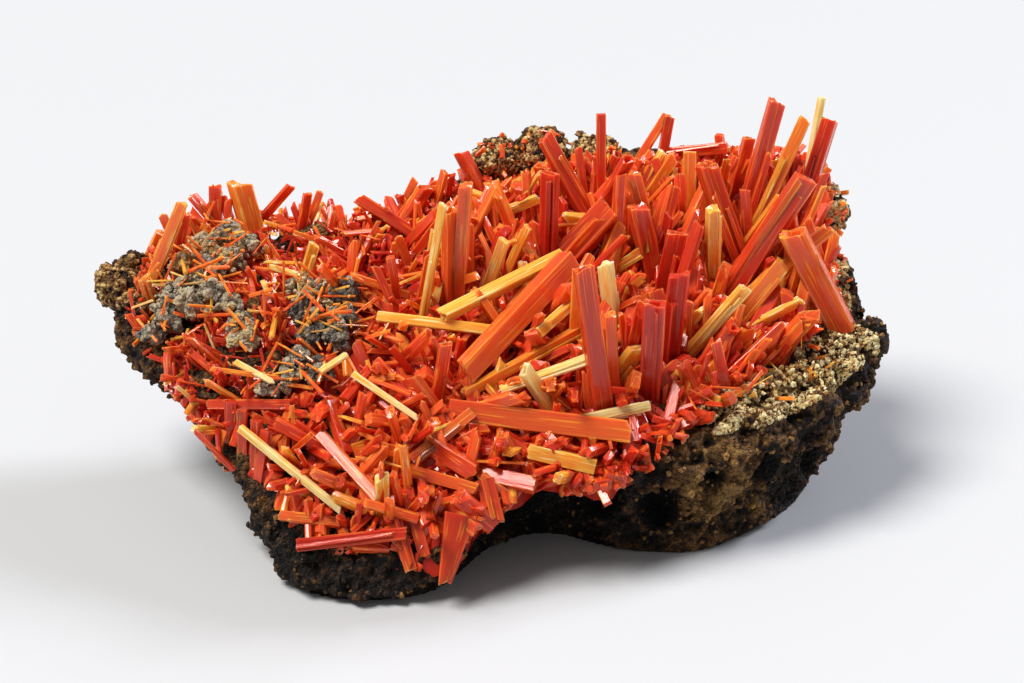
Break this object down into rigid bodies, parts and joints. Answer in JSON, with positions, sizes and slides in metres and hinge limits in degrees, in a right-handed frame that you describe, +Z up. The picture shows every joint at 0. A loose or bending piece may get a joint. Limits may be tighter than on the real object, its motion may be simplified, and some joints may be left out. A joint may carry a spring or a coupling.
{
  "type": "crocoite crystal specimen",
  "caption": "Jackstraw thicket of glassy orange-red crocoite prisms on a loose, pitted piece of brown gossan, with granular grey-green and cream crust.",
  "frame": {"origin": "middle of the bounding box, at the flat foot that the rock rests on", "axes": "+X along the specimen's length, towards the high side with the tall prisms; +Y from the front edge to the back; +Z up"},
  "size_m": [0.0652, 0.0414, 0.0292],
  "materials": {
    "gossan": "rough, earthy and pitted",
    "crocoite": "translucent, with a strong glassy to diamond-like lustre",
    "crocoite_pale": "translucent yellow-orange needles, glassy",
    "grey_crust": "dull and granular",
    "cream_crust": "sugary, slightly glittering"
  },
  "bodies": {
    "root": {"gossan_matrix": "gossan", "crocoite_thicket": "crocoite", "grey_crust_left": "grey_crust", "grey_crust_middle": "grey_crust", "grey_crust_lower": "grey_crust", "cream_crust_rim": "cream_crust", "loose_needle_front": "crocoite_pale", "loose_needle_left": "crocoite_pale", "loose_needle_middle": "crocoite_pale", "loose_needle_crust": "crocoite_pale"}
  },
  "joints": []
}
